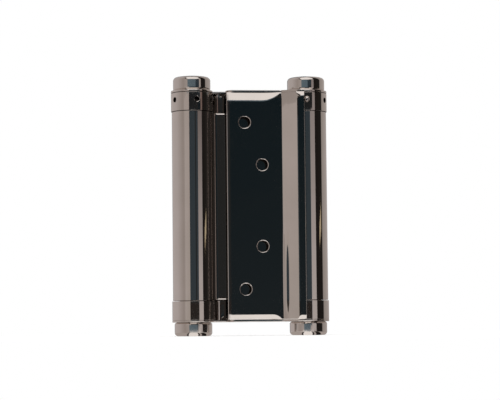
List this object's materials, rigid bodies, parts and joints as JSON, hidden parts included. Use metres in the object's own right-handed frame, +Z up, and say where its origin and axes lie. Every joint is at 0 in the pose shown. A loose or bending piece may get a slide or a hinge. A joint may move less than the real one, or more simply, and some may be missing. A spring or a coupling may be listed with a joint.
{
  "type": "double action cafe hinge",
  "caption": "Double action spring hinge for a light swing door: spring barrels side by side, joined by one rolled sheet, with a flange on each.",
  "frame": {"origin": "middle of the hinge, halfway between the two barrel axes", "axes": "+Z up along the barrels, +X from the jamb flange's barrel to the door flange's barrel, -Y out of the door flange's face"},
  "size_m": [0.0864, 0.0268, 0.142],
  "materials": {
    "nickel": "polished nickel plate on steel",
    "pin_nickel": "nickel plate on a turned steel pin",
    "plain_steel": "turned, oiled steel",
    "spring_steel": "oil hardened spring wire, greased",
    "bronze": "sintered bronze"
  },
  "bodies": {
    "jamb": {"jamb_flange": "nickel", "jamb_spindle": "plain_steel", "jamb_top_cap": "nickel", "jamb_bottom_cap": "nickel", "jamb_tension_collar": "nickel", "jamb_stop_pin": "pin_nickel", "jamb_fixed_collar": "nickel", "jamb_top_washer": "bronze", "jamb_foot_washer": "bronze"},
    "web": {"centre_web": "nickel", "door_anchor_plug": "plain_steel", "door_spring": "spring_steel", "jamb_anchor_plug": "plain_steel", "jamb_spring": "spring_steel"},
    "door": {"door_flange": "nickel", "door_spindle": "plain_steel", "door_top_cap": "nickel", "door_bottom_cap": "nickel", "door_tension_collar": "nickel", "door_stop_pin": "pin_nickel", "door_fixed_collar": "nickel", "door_top_washer": "bronze", "door_foot_washer": "bronze"}
  },
  "joints": [
    {"name": "jamb_pivot", "type": "hinge", "parent": "jamb", "child": "web", "pos_m": [-0.0317, 0, 0], "axis": [0, 0, -1], "range_deg": [0, 110], "stiffness_Nm_per_rad": 0.35, "springref_deg": -114.59, "deforming": ["jamb_spring"]},
    {"name": "door_pivot", "type": "hinge", "parent": "web", "child": "door", "pos_m": [0.0317, 0, 0], "axis": [0, 0, 1], "range_deg": [0, 110], "stiffness_Nm_per_rad": 0.35, "springref_deg": -114.59, "deforming": ["door_spring"]}
  ]
}
